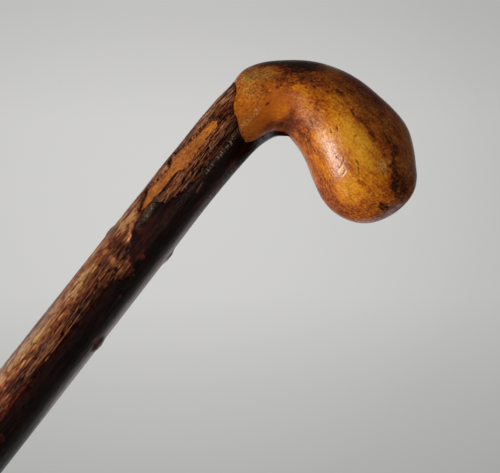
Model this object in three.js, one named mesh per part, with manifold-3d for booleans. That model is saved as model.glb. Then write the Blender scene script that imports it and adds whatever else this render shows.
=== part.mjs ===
// A rigid walking stick grown and carved from one piece of wood. The shaft still wears
// its bark, the root end is polished bare as a knob handle that leans out to one side,
// and the foot has a brass collar with a steel wear plug.
// Millimetres, +Z up the shaft, +X towards the knob, -Y the side that shows the window
// in the bark. The origin is the centre of the foot's flat face, on the shaft's axis.
import * as THREE from 'three';
import { mergeVertices } from 'three/addons/utils/BufferGeometryUtils.js';
import Module from 'manifold-3d';

const wasm = await Module();
wasm.setup();

// Overall sizes.
const stickHeight = 905;
const headRise = 83.4; // from the neck's lowest station to the top of the knob
const headReach = 91.8; // from the back of the bare neck to the tip of the knob
const knobWidth = 46; // across the knob, side to side
const neckDiameter = 23.2; // of the wood under the bark
const bellyDiameter = 23.9; // the shaft's thickest wood, a hand below the neck
const lowDiameter = 20.8; // of the wood just above the collar
const fit = 0.3; // clearance between pieces that touch

// Bark.
const barkThickness = 1.2;
const lipThickness = 0.6; // at the bark's upper edge
const lipRun = 9; // how far below the edge the bark is full thickness again
const windowLength = 48;
const windowTop = 28; // above the neck's lowest station
const cutDepth = 3; // how far the window's cutter passes the skin either way
const knotHeight = 0.9;
const knotLength = 12;
const knotWidth = 8;

// Ferrule.
const collarHeight = 38;
const collarTopDiameter = 22;
const collarFootDiameter = 19.6;
const collarWall = 1.2;
const beadHeight = 3;
const beadDepth = 0.7;
const tipHeight = 5; // the part of the plug below the collar
const plugHeight = 5; // the part of the plug inside the collar
const footDiameter = 15; // of the flat face that meets the ground
const tipEdge = 1.6; // height of the rounded edge round that face
const pinDiameter = 1.8;
const pinLength = 7;
const pinHeadDiameter = 3.4;
const pinHeadHeight = 0.8;
const pinHeight = 26; // of the pins' axis above the ground

// Numbers of faces.
const sides = 48;
const headSteps = 38;
const lipSteps = 4;
const pinSides = 12;

const neckHeight = stickHeight - headRise;
const neckRadius = neckDiameter / 2;
const collarBottom = tipHeight + fit;
const collarTop = collarBottom + collarHeight;
const shaftBottom = collarTop + fit;
const headRun = 0.8 * (headRise + headReach); // path length that head shares count along

// The shaft's wood: share of the way from its bottom up to the neck, then shares of the
// low, belly and neck diameters that make its diameter there.
const shaftStationShares = [
  [0, 1, 0, 0],
  [0.2, 0.72, 0.28, 0],
  [0.45, 0.3, 0.7, 0],
  [0.7, 0, 1, 0],
  [0.88, 0, 1, 0],
  [0.95, 0, 0.5, 0.5],
];

// The head's wood. Each station is a cut across the neck or knob between a point on the
// back rail and a point on the crook rail. Columns: share of headRun, the back point's
// shares of headReach and headRise, the crook point's shares of the reach beyond the
// neck and of headRise, then the shares of the neck's and the knob's half width.
const headStationShares = [
  [0, 0, 0, 0, 0, 1, 0],
  [0.14, 0.002, 0.237, 0.009, 0.237, 1, 0.005],
  [0.226, 0.005, 0.394, 0.023, 0.38, 0.98, 0.03],
  [0.29, 0.009, 0.54, 0.044, 0.454, 0.85, 0.13],
  [0.347, 0.006, 0.662, 0.074, 0.508, 0.65, 0.3],
  [0.396, 0.051, 0.754, 0.111, 0.535, 0.4, 0.48],
  [0.446, 0.135, 0.845, 0.156, 0.544, 0.2, 0.65],
  [0.502, 0.241, 0.927, 0.203, 0.536, 0.08, 0.8],
  [0.559, 0.357, 0.978, 0.262, 0.522, 0, 0.9],
  [0.622, 0.475, 0.999, 0.345, 0.49, 0, 0.95],
  [0.686, 0.595, 0.996, 0.445, 0.438, 0, 0.985],
  [0.75, 0.712, 0.981, 0.574, 0.384, 0, 1],
  [0.806, 0.797, 0.95, 0.69, 0.369, 0, 0.97],
  [0.856, 0.87, 0.889, 0.806, 0.388, 0, 0.885],
  [0.902, 0.926, 0.825, 0.895, 0.435, 0, 0.76],
  [0.944, 0.968, 0.771, 0.958, 0.508, 0, 0.59],
  [0.98, 0.993, 0.709, 0.993, 0.588, 0, 0.35],
  [1, 1, 0.65, 1, 0.65, 0, 0],
];

// The bark's upper edge: degrees round from the crook towards the front, and the share
// of headRun that it reaches there. It runs up the crook in a tongue.
const barkEdgeShares = [
  [0, 0.455],
  [8, 0.385],
  [15, 0.355],
  [22, 0.3],
  [28, 0.265],
  [33, 0.23],
  [44, 0.215],
  [60, 0.216],
  [76, 0.227],
  [96, 0.248],
  [114, 0.263],
  [134, 0.296],
  [150, 0.31],
  [165, 0.315],
  [190, 0.305],
  [215, 0.288],
  [238, 0.262],
  [256, 0.268],
  [276, 0.24],
  [300, 0.212],
  [318, 0.235],
  [332, 0.34],
  [346, 0.43],
  [360, 0.455],
];

// The window where the bark has flaked off: degrees round, and the share of the window's
// length below its top.
const windowOutlineShares = [
  [113, 0],
  [121, 0.03],
  [130, 0.07],
  [130, 0.18],
  [138, 0.26],
  [141, 0.34],
  [149, 0.38],
  [151, 0.47],
  [147, 0.5],
  [137, 0.52],
  [136, 0.6],
  [137, 0.7],
  [142, 0.75],
  [142, 0.83],
  [134, 0.86],
  [131, 0.93],
  [125, 1],
  [120, 0.93],
  [117, 0.8],
  [117, 0.6],
  [113, 0.53],
  [107, 0.5],
  [106, 0.42],
  [110, 0.36],
  [110, 0.2],
  [110, 0.04],
];

// Twig knots on the bark: degrees round, and the distance below the neck as a share of
// the shaft.
const knotShares = [
  [355, 0.036],
  [188, 0.045],
  [14, 0.096],
  [230, 0.15],
  [75, 0.225],
  [310, 0.31],
  [170, 0.4],
  [40, 0.5],
  [265, 0.61],
  [125, 0.72],
  [350, 0.84],
];

// Every station as the distance along the stick from the neck, the back point, the
// crook point and the half width across.
function stationTable() {
  const rows = [];
  for (const [up, low, belly, neck] of shaftStationShares) {
    const z = THREE.MathUtils.lerp(shaftBottom, neckHeight, up);
    const radius = (low * lowDiameter + belly * bellyDiameter + neck * neckDiameter) / 2;
    rows.push([z - neckHeight, -radius, z, radius, z, radius]);
  }
  for (const [run, backX, backZ, crookX, crookZ, neck, knob] of headStationShares) {
    rows.push([
      run * headRun,
      backX * headReach - neckRadius,
      neckHeight + backZ * headRise,
      neckRadius + crookX * (headReach - neckDiameter),
      neckHeight + crookZ * headRise,
      neck * neckRadius + knob * knobWidth / 2,
    ]);
  }
  return rows;
}

const stations = stationTable();
const shape = new THREE.CubicInterpolant(
  stations.map((row) => row[0]),
  stations.flatMap((row) => row.slice(1)),
  5,
);

// The point at a distance along the stick and an angle round it, lifted off the wood.
function skinPoint(along, degrees, lift) {
  const [backX, backZ, crookX, crookZ, half] = shape.evaluate(along);
  const angle = THREE.MathUtils.degToRad(degrees);
  const back = new THREE.Vector3(backX, 0, backZ);
  const crook = new THREE.Vector3(crookX, 0, crookZ);
  const across = crook.clone().sub(back);
  const depth = across.length() / 2;
  const point = back.lerp(crook, 0.5);
  point.addScaledVector(across.normalize(), (depth + lift) * Math.cos(angle));
  point.y = -(half + lift) * Math.sin(angle);
  return point;
}

function ring(alongAt, liftAt) {
  const points = [];
  for (let i = 0; i < sides; i += 1) {
    const degrees = 360 * i / sides;
    const along = alongAt(degrees);
    points.push(skinPoint(along, degrees, liftAt(along, degrees)));
  }
  return points;
}

// Triangles between neighbouring rings of points. With closed set, the last ring joins
// the first.
function bands(rings, closed) {
  const size = rings[0].length;
  const last = closed ? rings.length : rings.length - 1;
  const triangles = [];
  for (let r = 0; r < last; r += 1) {
    const low = r * size;
    const high = ((r + 1) % rings.length) * size;
    for (let i = 0; i < size; i += 1) {
      const next = (i + 1) % size;
      triangles.push(low + next, low + i, high + i);
      triangles.push(low + next, high + i, high + next);
    }
  }
  return triangles;
}

function geometryOf(points, triangles) {
  const geometry = new THREE.BufferGeometry();
  const numbers = points.flatMap((point) => point.toArray());
  geometry.setAttribute('position', new THREE.Float32BufferAttribute(numbers, 3));
  geometry.setIndex(triangles);
  return geometry;
}

// A solid through rings of points, closed by a fan from a middle point at either end.
function loft(rings, start, end) {
  const size = rings[0].length;
  const points = rings.flat();
  const triangles = bands(rings, false);
  const top = points.length - size;
  for (let i = 0; i < size; i += 1) {
    const next = (i + 1) % size;
    triangles.push(points.length, i, next);
    triangles.push(points.length + 1, top + next, top + i);
  }
  points.push(start, end);
  return geometryOf(points, triangles);
}

function toSolid(geometry) {
  const bare = geometry.clone();
  bare.deleteAttribute('normal');
  bare.deleteAttribute('uv');
  const merged = mergeVertices(bare);
  return new wasm.Manifold(new wasm.Mesh({
    numProp: 3,
    vertProperties: new Float32Array(merged.attributes.position.array),
    triVerts: new Uint32Array(merged.index.array),
  }));
}

function toGeometry(solid) {
  const mesh = solid.getMesh();
  const geometry = new THREE.BufferGeometry();
  geometry.setAttribute('position', new THREE.BufferAttribute(mesh.vertProperties, 3));
  geometry.setIndex(new THREE.BufferAttribute(mesh.triVerts, 1));
  geometry.computeVertexNormals();
  return geometry;
}

// A solid of revolution round Z from points of radius and height.
function turned(profile, segments) {
  const points = profile.map(([radius, height]) => new THREE.Vector2(radius, height));
  return new THREE.LatheGeometry(points, segments).rotateX(Math.PI / 2);
}

// The collar's taper and its bore.
function collarRadius(z) {
  const up = (z - collarBottom) / collarHeight;
  return THREE.MathUtils.lerp(collarFootDiameter, collarTopDiameter, up) / 2;
}

function boreRadius(z) {
  return collarRadius(z) - collarWall;
}

const plugTop = tipHeight + fit + plugHeight;
const spigotBottom = plugTop + fit;

// The wood: shaft, neck and knob as one loft, with a spigot turned on the foot.
function woodSolid() {
  const rings = [];
  const runs = shaftStationShares.map((row) => THREE.MathUtils.lerp(shaftBottom, neckHeight, row[0]));
  for (const z of runs) {
    rings.push(ring(() => z - neckHeight, () => 0));
  }
  for (let i = 0; i < headSteps; i += 1) {
    rings.push(ring(() => headRun * i / headSteps, () => 0));
  }
  const foot = new THREE.Vector3(0, 0, shaftBottom);
  const tip = skinPoint(headRun, 0, 0);
  const spigot = turned([
    [0, spigotBottom],
    [boreRadius(spigotBottom) - fit, spigotBottom],
    [boreRadius(collarTop) - fit, collarTop],
    [boreRadius(collarTop) - fit, shaftBottom + fit],
    [0, shaftBottom + fit],
  ], sides);
  return toSolid(loft(rings, foot, tip)).add(toSolid(spigot));
}

// The bark: a sleeve whose upper rows rise to the edge.
function edgeAt(degrees) {
  const index = barkEdgeShares.findIndex((point) => point[0] > degrees);
  const [fromAngle, fromShare] = barkEdgeShares[index - 1];
  const [toAngle, toShare] = barkEdgeShares[index];
  const between = (degrees - fromAngle) / (toAngle - fromAngle);
  return headRun * THREE.MathUtils.lerp(fromShare, toShare, between);
}

function barkLift(along, degrees) {
  const below = edgeAt(degrees) - along;
  const full = THREE.MathUtils.smoothstep(below, 0, lipRun);
  return fit + THREE.MathUtils.lerp(lipThickness, barkThickness, full);
}

function sleeve() {
  const freeTop = 0.15 * headRun;
  const shaftShares = [0, 0.1, 0.2, 0.32, 0.45, 0.57, 0.7, 0.79, 0.88, 0.92, 0.95, 0.98];
  const rows = shaftShares.map((up) => THREE.MathUtils.lerp(shaftBottom - neckHeight, 0, up));
  const levels = [...rows, 0, freeTop / 2].map((along) => () => along);
  for (let i = 0; i <= lipSteps; i += 1) {
    const up = i / lipSteps;
    levels.push((degrees) => THREE.MathUtils.lerp(freeTop, edgeAt(degrees), up));
  }
  const outer = levels.map((level) => ring(level, barkLift));
  const inner = levels.map((level) => ring(level, () => fit));
  const rings = [...outer, ...inner.reverse()];
  return toSolid(geometryOf(rings.flat(), bands(rings, true)));
}

// A prism through the bark from an outline of angle and distance along.
function windowCutter() {
  const outline = windowOutlineShares.map(([degrees, down]) => new THREE.Vector2(degrees, down));
  const faces = THREE.ShapeUtils.triangulateShape(outline, []);
  const count = outline.length;
  const points = [];
  for (const lift of [-cutDepth, cutDepth]) {
    for (const corner of outline) {
      points.push(skinPoint(windowTop - corner.y * windowLength, corner.x, fit + lift));
    }
  }
  const triangles = [];
  for (const [a, b, c] of faces) {
    triangles.push(a, c, b);
    triangles.push(count + a, count + b, count + c);
  }
  for (let i = 0; i < count; i += 1) {
    const next = (i + 1) % count;
    triangles.push(i, next, count + i);
    triangles.push(next, count + next, count + i);
  }
  return toSolid(geometryOf(points, triangles));
}

// A low swelling that follows the bark's skin.
function knotSolid(degrees, along) {
  const ball = new THREE.SphereGeometry(1, 10, 6);
  const spots = ball.attributes.position;
  const reach = THREE.MathUtils.radToDeg(knotWidth / neckDiameter);
  const middle = fit + barkThickness - (barkThickness - knotHeight) / 2;
  const half = (barkThickness + knotHeight) / 2 - fit;
  for (let i = 0; i < spots.count; i += 1) {
    const point = skinPoint(
      along + spots.getZ(i) * knotLength / 2,
      degrees + spots.getX(i) * reach,
      middle + spots.getY(i) * half,
    );
    spots.setXYZ(i, point.x, point.y, point.z);
  }
  return toSolid(ball);
}

function barkSolid() {
  let solid = sleeve();
  for (const [degrees, down] of knotShares) {
    solid = solid.add(knotSolid(degrees, -down * (neckHeight - shaftBottom)));
  }
  return solid.subtract(windowCutter());
}

// The ferrule.
function collarSolid() {
  const beadBottom = collarTop - beadHeight;
  return toSolid(turned([
    [boreRadius(collarBottom), collarBottom],
    [collarRadius(collarBottom), collarBottom],
    [collarRadius(beadBottom), beadBottom],
    [collarRadius(beadBottom) + beadDepth, beadBottom + beadHeight / 4],
    [collarRadius(beadBottom) + beadDepth, collarTop - beadHeight / 4],
    [collarRadius(collarTop), collarTop],
    [boreRadius(collarTop), collarTop],
    [boreRadius(collarBottom), collarBottom],
  ], sides));
}

function tipGeometry() {
  const rim = collarFootDiameter / 2;
  return turned([
    [0, 0],
    [footDiameter / 2, 0],
    [(footDiameter / 2 + rim) / 2, tipEdge / 4],
    [rim, tipEdge],
    [rim, tipHeight],
    [boreRadius(collarBottom) - fit, tipHeight],
    [boreRadius(collarBottom) - fit, plugTop],
    [0, plugTop],
  ], sides);
}

// A brad with its axis along Z, its head on top and the head's underside at zero.
function pinGeometry() {
  return turned([
    [0, -pinLength],
    [pinDiameter / 2, -pinLength + pinDiameter / 2],
    [pinDiameter / 2, 0],
    [pinHeadDiameter / 2, 0],
    [0.8 * pinHeadDiameter / 2, 0.7 * pinHeadHeight],
    [0, pinHeadHeight],
  ], pinSides);
}

const pinSeat = collarRadius(pinHeight + pinHeadDiameter / 2) + fit;

// The hole for a brad, wider and deeper than its shank by the clearance.
function pinHole(side) {
  const hole = turned([
    [0, -pinLength - fit],
    [pinDiameter / 2 + fit, -pinLength - fit],
    [pinDiameter / 2 + fit, collarTopDiameter],
    [0, collarTopDiameter],
  ], pinSides);
  hole.rotateX(side * Math.PI / 2);
  hole.translate(0, -side * pinSeat, pinHeight);
  return toSolid(hole);
}

function named(name, geometry, color, roughness, metalness) {
  const material = new THREE.MeshStandardMaterial({ color, roughness, metalness });
  const mesh = new THREE.Mesh(geometry, material);
  mesh.name = name;
  return mesh;
}

let wood = woodSolid();
let collar = collarSolid();
for (const side of [1, -1]) {
  wood = wood.subtract(pinHole(side));
  collar = collar.subtract(pinHole(side));
}

const group = new THREE.Group();
group.add(named('wood_stick', toGeometry(wood), 0xa8621c, 0.28, 0));
group.add(named('bark', toGeometry(barkSolid()), 0x3a1d14, 0.45, 0));
group.add(named('ferrule_collar', toGeometry(collar), 0xb08a3e, 0.35, 1));
group.add(named('ferrule_tip', tipGeometry(), 0x777a7d, 0.45, 1));
for (const [name, side] of [['ferrule_pin_front', 1], ['ferrule_pin_rear', -1]]) {
  const pin = named(name, pinGeometry(), 0xb08a3e, 0.35, 1);
  pin.rotation.x = side * Math.PI / 2;
  pin.position.set(0, -side * pinSeat, pinHeight);
  group.add(pin);
}

export default group;
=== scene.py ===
"""The walking stick's look: a polished root knob over a shaft that still wears its bark,
with a brass collar and a steel wear plug at the foot, under soft light on a pale floor."""
import math

import bpy
import numpy as np
from mathutils import Matrix, Vector


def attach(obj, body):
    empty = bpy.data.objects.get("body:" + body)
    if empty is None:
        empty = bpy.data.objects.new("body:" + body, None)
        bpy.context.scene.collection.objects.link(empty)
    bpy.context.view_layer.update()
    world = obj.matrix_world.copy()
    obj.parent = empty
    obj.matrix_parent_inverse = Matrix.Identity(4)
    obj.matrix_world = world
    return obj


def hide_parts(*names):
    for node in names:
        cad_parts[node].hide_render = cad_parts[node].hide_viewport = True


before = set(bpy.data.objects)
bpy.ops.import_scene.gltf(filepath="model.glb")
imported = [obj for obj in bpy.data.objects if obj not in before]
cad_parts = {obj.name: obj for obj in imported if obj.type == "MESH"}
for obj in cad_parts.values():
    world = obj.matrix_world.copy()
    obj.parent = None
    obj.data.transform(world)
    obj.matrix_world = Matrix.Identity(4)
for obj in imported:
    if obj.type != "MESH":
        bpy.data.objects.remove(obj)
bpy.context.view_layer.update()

# Sizes in millimetres, the same as the solids'.
STICK_HEIGHT = 905
HEAD_RISE = 83.4
HEAD_REACH = 91.8
KNOB_WIDTH = 46
NECK_DIAMETER = 23.2
BELLY_DIAMETER = 23.9
LOW_DIAMETER = 20.8
FIT = 0.3
BARK_RADIUS = 13
BARK_THICKNESS = 1.2
LIP_RUN = 9
WINDOW_LENGTH = 48
WINDOW_TOP = 28
KNOT_HEIGHT = 0.8
COLLAR_HEIGHT = 38
COLLAR_TOP_DIAMETER = 22
COLLAR_FOOT_DIAMETER = 19.6
COLLAR_WALL = 1.2
BEAD_HEIGHT = 3
BEAD_DEPTH = 0.7
TIP_HEIGHT = 5
FOOT_DIAMETER = 15
PIN_DIAMETER = 1.8
PIN_HEAD_DIAMETER = 3.4
PIN_HEAD_HEIGHT = 0.8
PIN_HEIGHT = 26

NECK_HEIGHT = STICK_HEIGHT - HEAD_RISE
NECK_RADIUS = NECK_DIAMETER / 2
COLLAR_BOTTOM = TIP_HEIGHT + FIT
COLLAR_TOP = COLLAR_BOTTOM + COLLAR_HEIGHT
SHAFT_BOTTOM = COLLAR_TOP + FIT
SHAFT_LENGTH = NECK_HEIGHT - SHAFT_BOTTOM
HEAD_RUN = 0.8 * (HEAD_RISE + HEAD_REACH)
MM = 0.001
# The way round the bark for a degree.
DEGREE_ARC = math.radians(BARK_RADIUS)

# The shaft's wood: share of the way up, then shares of the low, belly and neck diameters.
SHAFT_SHARES = [
    (0, 1, 0, 0), (0.2, 0.72, 0.28, 0), (0.45, 0.3, 0.7, 0), (0.7, 0, 1, 0), (0.88, 0, 1, 0),
    (0.95, 0, 0.5, 0.5),
]

# The head's cuts between the back rail and the crook rail: share of the run, back point,
# crook point, and shares of the neck's and the knob's half width.
HEAD_SHARES = [
    (0, 0, 0, 0, 0, 1, 0), (0.14, 0.002, 0.237, 0.009, 0.237, 1, 0.005),
    (0.226, 0.005, 0.394, 0.023, 0.38, 0.98, 0.03), (0.29, 0.009, 0.54, 0.044, 0.454, 0.85, 0.13),
    (0.347, 0.006, 0.662, 0.074, 0.508, 0.65, 0.3), (0.396, 0.051, 0.754, 0.111, 0.535, 0.4, 0.48),
    (0.446, 0.135, 0.845, 0.156, 0.544, 0.2, 0.65), (0.502, 0.241, 0.927, 0.203, 0.536, 0.08, 0.8),
    (0.559, 0.357, 0.978, 0.262, 0.522, 0, 0.9), (0.622, 0.475, 0.999, 0.345, 0.49, 0, 0.95),
    (0.686, 0.595, 0.996, 0.445, 0.438, 0, 0.985), (0.75, 0.712, 0.981, 0.574, 0.384, 0, 1),
    (0.806, 0.797, 0.95, 0.69, 0.369, 0, 0.97), (0.856, 0.87, 0.889, 0.806, 0.388, 0, 0.885),
    (0.902, 0.926, 0.825, 0.895, 0.435, 0, 0.76), (0.944, 0.968, 0.771, 0.958, 0.508, 0, 0.59),
    (0.98, 0.993, 0.709, 0.993, 0.588, 0, 0.35), (1, 1, 0.65, 1, 0.65, 0, 0),
]

# The bark's upper edge: degrees round from the crook towards the front, share of the run.
BARK_EDGE_SHARES = [
    (0, 0.44), (6, 0.37), (11, 0.34), (17, 0.29), (24, 0.25), (32, 0.226), (44, 0.215), (60, 0.216),
    (76, 0.227), (96, 0.248), (114, 0.263), (134, 0.296), (150, 0.31), (165, 0.315), (190, 0.305),
    (215, 0.288), (238, 0.262), (256, 0.268), (276, 0.24), (300, 0.212), (318, 0.235), (332, 0.34),
    (346, 0.43), (360, 0.455),
]

# The window in the bark: degrees round, share of its length below its top.
WINDOW_SHARES = [
    (111, 0.02), (118, -0.02), (127, 0.01), (134, 0.06), (136, 0.18), (138, 0.27), (147, 0.33),
    (154, 0.37), (156, 0.47), (152, 0.51), (142, 0.54), (141, 0.6), (142, 0.7), (150, 0.74),
    (150, 0.83), (142, 0.87), (137, 0.93), (127, 1), (121, 0.94), (118, 0.8), (118, 0.6), (115, 0.53),
    (107, 0.5), (105, 0.43), (111, 0.36), (112, 0.2), (111, 0.08),
]

# Twig knots: degrees round, share of the shaft below the neck.
KNOT_SHARES = [
    (355, 0.036), (188, 0.045), (14, 0.096), (230, 0.15), (75, 0.225), (310, 0.31), (170, 0.4),
    (40, 0.5), (265, 0.61), (125, 0.72), (350, 0.84),
]


def ease(share):
    return share * share * (3 - 2 * share)


def smooth(low, high, value):
    return ease(np.clip((value - low) / (high - low), 0, 1))


def fall(low, high, value):
    return 1 - smooth(low, high, value)


# Smooth random values.
DICE = np.random.default_rng(11).uniform(-1, 1, 1 << 16)


def dice(i, j, k):
    return DICE[(i * 7919 + j * 104729 + k * 1299709) & 0xFFFF]


def noise(along, turns, around, seed):
    """Random values from -1 to 1 over cells along, and around that many cells a turn."""
    a, b = np.broadcast_arrays(along, turns * around)
    i, j = np.floor(a).astype(np.int64), np.floor(b).astype(np.int64)
    p, q = ease(a - i), ease(b - j)
    j0, j1 = j % around, (j + 1) % around
    low = dice(i, j0, seed) * (1 - q) + dice(i, j1, seed) * q
    high = dice(i + 1, j0, seed) * (1 - q) + dice(i + 1, j1, seed) * q
    return low * (1 - p) + high * p


def layers(along, turns, around, seed, count=3):
    """Noise with finer and fainter noise on top."""
    return sum(noise(along * 2**n, turns, around * 2**n, seed + n) / 2**n
               for n in range(count)) / 1.5


def noise3(points, seed):
    """Random values from -1 to 1 over cells in space."""
    cell = np.floor(points).astype(np.int64)
    p = ease(points - cell)
    total = 0
    for corner in range(8):
        d = [corner & 1, corner >> 1 & 1, corner >> 2]
        weight = 1
        for n in range(3):
            weight = weight * (p[..., n] if d[n] else 1 - p[..., n])
        row = cell[..., 0] + d[0] + 31 * (cell[..., 1] + d[1])
        total = total + weight * dice(row, cell[..., 2] + d[2], seed)
    return total


def layers3(points, seed, count=3):
    return sum(noise3(points * 2**n + 17 * n, seed + n) / 2**n for n in range(count)) / 1.5


# The stick's shape.
def station_table():
    rows = []
    for up, low, belly, neck in SHAFT_SHARES:
        z = SHAFT_BOTTOM + up * SHAFT_LENGTH
        radius = (low * LOW_DIAMETER + belly * BELLY_DIAMETER + neck * NECK_DIAMETER) / 2
        rows.append((z - NECK_HEIGHT, -radius, z, radius, z, radius))
    for run, back_x, back_z, crook_x, crook_z, neck, knob in HEAD_SHARES:
        rows.append((
            run * HEAD_RUN,
            back_x * HEAD_REACH - NECK_RADIUS,
            NECK_HEIGHT + back_z * HEAD_RISE,
            NECK_RADIUS + crook_x * (HEAD_REACH - NECK_DIAMETER),
            NECK_HEIGHT + crook_z * HEAD_RISE,
            neck * NECK_RADIUS + knob * KNOB_WIDTH / 2,
        ))
    # One more station beyond each end, in line with the two before it.
    rows = np.array(rows)
    return np.vstack([2 * rows[0] - rows[1], rows, 2 * rows[-1] - rows[-2]])


STATIONS = station_table()


def shape(along):
    """Back x and z, crook x and z and half width at distances along the stick."""
    times, values = STATIONS[:, 0], STATIONS[:, 1:]
    i = np.clip(np.searchsorted(times, along, side="right") - 1, 1, len(times) - 3)
    before, span, after = (times[i + n] - times[i + n - 1] for n in range(3))
    p = np.clip((along - times[i]) / span, 0, 1)
    wb, wa = 0.5 * span / before, 0.5 * span / after
    weights = (
        -wb * p**3 + 2 * wb * p**2 - wb * p,
        (1 + wb) * p**3 + (-1.5 - 2 * wb) * p**2 + (-0.5 + wb) * p + 1,
        (-1 - wa) * p**3 + (1.5 + wa) * p**2 + 0.5 * p,
        wa * p**3 - wa * p**2,
    )
    return sum(weight[..., None] * values[i + n - 1] for n, weight in enumerate(weights))


def skin(along, turns, lift):
    """Points at distances along, turns round from the crook by the front, lifted off."""
    rows = shape(along)
    back, crook, width = rows[..., :2], rows[..., 2:4], rows[..., 4]
    across = crook - back
    depth = np.linalg.norm(across, axis=-1) / 2
    across = across / np.maximum(2 * depth, 1e-9)[..., None]
    angle = 2 * np.pi * turns
    flat = (back + crook) / 2 + across * ((depth + lift) * np.cos(angle))[..., None]
    return np.stack([flat[..., 0], -(width + lift) * np.sin(angle), flat[..., 1]], -1)


def edge_at(turns):
    degrees, share = np.array(BARK_EDGE_SHARES).T
    base = HEAD_RUN * np.interp(turns * 360, degrees, share)
    ragged = 0.4 * noise(0, turns, 17, 40) + 0.4 * noise(0, turns, 43, 41)
    return base + ragged - 0.2


def new_object(name, data):
    item = bpy.data.objects.new(name, data)
    bpy.context.scene.collection.objects.link(item)
    return item


def grid_piece(name, points, fields, keep=None, caps=False):
    """A mesh over rings of points in millimetres, with one value a point per field."""
    rows, columns = points.shape[:2]
    index = np.arange(rows * columns).reshape(rows, columns)
    after = np.roll(index, -1, axis=1)
    quads = np.stack([after[:-1], after[1:], index[1:], index[:-1]], -1).reshape(-1, 4)
    if keep is not None:
        quads = quads[keep.ravel()[quads].any(axis=1)]
    mesh = bpy.data.meshes.new(name)
    flat = points.reshape(-1, 3) * MM
    mesh.vertices.add(len(flat))
    mesh.vertices.foreach_set("co", flat.ravel().astype(np.float32))
    loops = [quads.ravel()]
    starts = list(range(0, quads.size, 4))
    if caps:
        starts += [quads.size, quads.size + columns]
        loops += [index[0][::-1], index[-1]]
    loops = np.concatenate(loops)
    mesh.loops.add(len(loops))
    mesh.loops.foreach_set("vertex_index", loops.astype(np.int32))
    mesh.polygons.add(len(starts))
    mesh.polygons.foreach_set("loop_start", np.array(starts, np.int32))
    mesh.update(calc_edges=True)
    mesh.validate()
    mesh.shade_smooth()
    for key, values in fields.items():
        kind, target = ("FLOAT_VECTOR", "vector") if values.ndim == 3 else ("FLOAT", "value")
        attribute = mesh.attributes.new(key, kind, "POINT")
        attribute.data.foreach_set(target, values.astype(np.float32).ravel())
    return new_object(name, mesh)


def round_points(height, turns, radius):
    """Points round an upright axis. The grain's own coordinates are made of them too."""
    angle = 2 * np.pi * turns
    flat = radius * np.cos(angle), radius * np.sin(angle)
    return np.stack(np.broadcast_arrays(*flat, height), -1)


# Marks on the polished head, seen from the front: x and height above the neck, half
# sizes, tilt in degrees, and strength. Stains darken the wood or, below zero, leave it paler.
STAINS = [
    (6, 68.4, 9.5, 5.6, 38, 0.5), (-4.5, 62.8, 5, 2.6, 44, 0.3), (13.5, 73, 7, 3.6, 26, 0.28),
    (38, 79, 30, 4, -1, 0.14), (34, 77, 12, 5, 0, 0.1), (22, 70, 12, 5.5, 12, 0.1),
    (42, 71.5, 22, 7.5, -3, 0.05), (60, 71, 14, 8, -24, 0.04), (69, 62, 8, 9, -45, 0.04),
    (55, 62, 9, 3.6, -14, 0.13), (65, 57, 5, 4, -40, 0.08), (73, 53, 6, 6, 0, 0.2),
    (18, 66, 8, 3, 14, 0.1), (77.5, 45, 3.8, 6, 12, 0.13), (74.5, 38, 5, 3, 50, 0.2),
    (66, 33.6, 10, 2.6, 14, 0.16), (54, 32.2, 9, 1.8, -10, 0.14), (70, 40, 6, 6, 0, 0.05),
    (10, 62.8, 8, 3.2, 22, 0.15), (16, 65, 5, 3, 14, 0.08), (20.4, 47.2, 4.4, 4, 0, 0.42),
    (18.6, 52, 2.6, 4.4, -10, 0.03), (15.4, 44, 2, 4, -30, 0.18), (28, 46, 4.4, 1.8, -12, 0.18),
    (34, 44.6, 5, 2, -24, 0.1), (25, 50.5, 4, 3.4, -30, 0.1), (13.4, 38, 1.8, 6, -8, 0.05),
    (6.5, 58.6, 5, 2.2, 22, 0.14), (-9.6, 52, 1.6, 6, 0, 0.1), (42, 58.5, 11, 4, -8, -0.07),
    (48, 54, 13, 5, -30, -0.13), (57, 50.5, 6, 5, -45, -0.12), (56, 40, 9, 5, -12, -0.13),
    (36, 50, 10, 6, -36, -0.05), (27, 57.5, 6, 5, -50, 0.07), (23, 60, 5, 4, -40, 0.14),
    (29, 51.5, 4, 4, -30, 0.09), (36, 41.5, 5, 3, -30, 0.05), (-3, 45, 5, 7, 0, 0.02),
    (4, 46, 14, 14, 0, 0.09), (7, 38, 5, 9, 0, 0.03), (80, 42, 5, 12, 10, 0.04),
    (78.5, 52, 3, 6, 0, -0.06), (40, 38, 9, 2.6, -24, 0.1), (49, 33.4, 6, 2.4, -24, 0.12),
    (13, 55, 6, 4, -20, 0.09), (8, 36.4, 6, 3, 20, -0.05), (30, 45, 8, 3, -40, 0.05),
    (70, 51, 8, 5, -58, 0.07), (60, 61.5, 14, 4, -30, 0.03), (53, 55, 3, 2.4, -40, 0.1),
    (82, 58, 3, 10, 0, 0.08), (81.5, 44.5, 4, 5, 0, 0.2), (-7, 5, 9, 26, 0, 0.09),
    # The next two pale spots are a painted highlight, a speck of light on the polish.
    (61.6, 55.2, 1.8, 0.9, -30, -0.12), (63.6, 52.8, 1.6, 0.8, -50, -0.12),
    (53.5, 57.6, 3.4, 1.6, -10, -0.08),
]
CALM = [(10, 45, 6, 12, 10, 1), (12, 53, 7, 3.6, 10, 0.8), (3, 40, 6, 6, 0, 0.6), (19, 48, 6, 5, 0, 0.7)]
DULL = [
    (26, 56, 9, 8, -50, 0.95), (30.5, 52.5, 8, 7, -50, 0.85), (35, 48.6, 4, 4, -50, 0.3),
    (42, 43, 4, 4, -50, 0.2), (76, 39, 7, 5, 50, 0.9), (64.5, 51.5, 4.5, 4, -40, 1),
    (82, 52, 6, 18, 0, 1), (76, 34, 8, 5, 50, 1),
]
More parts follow.
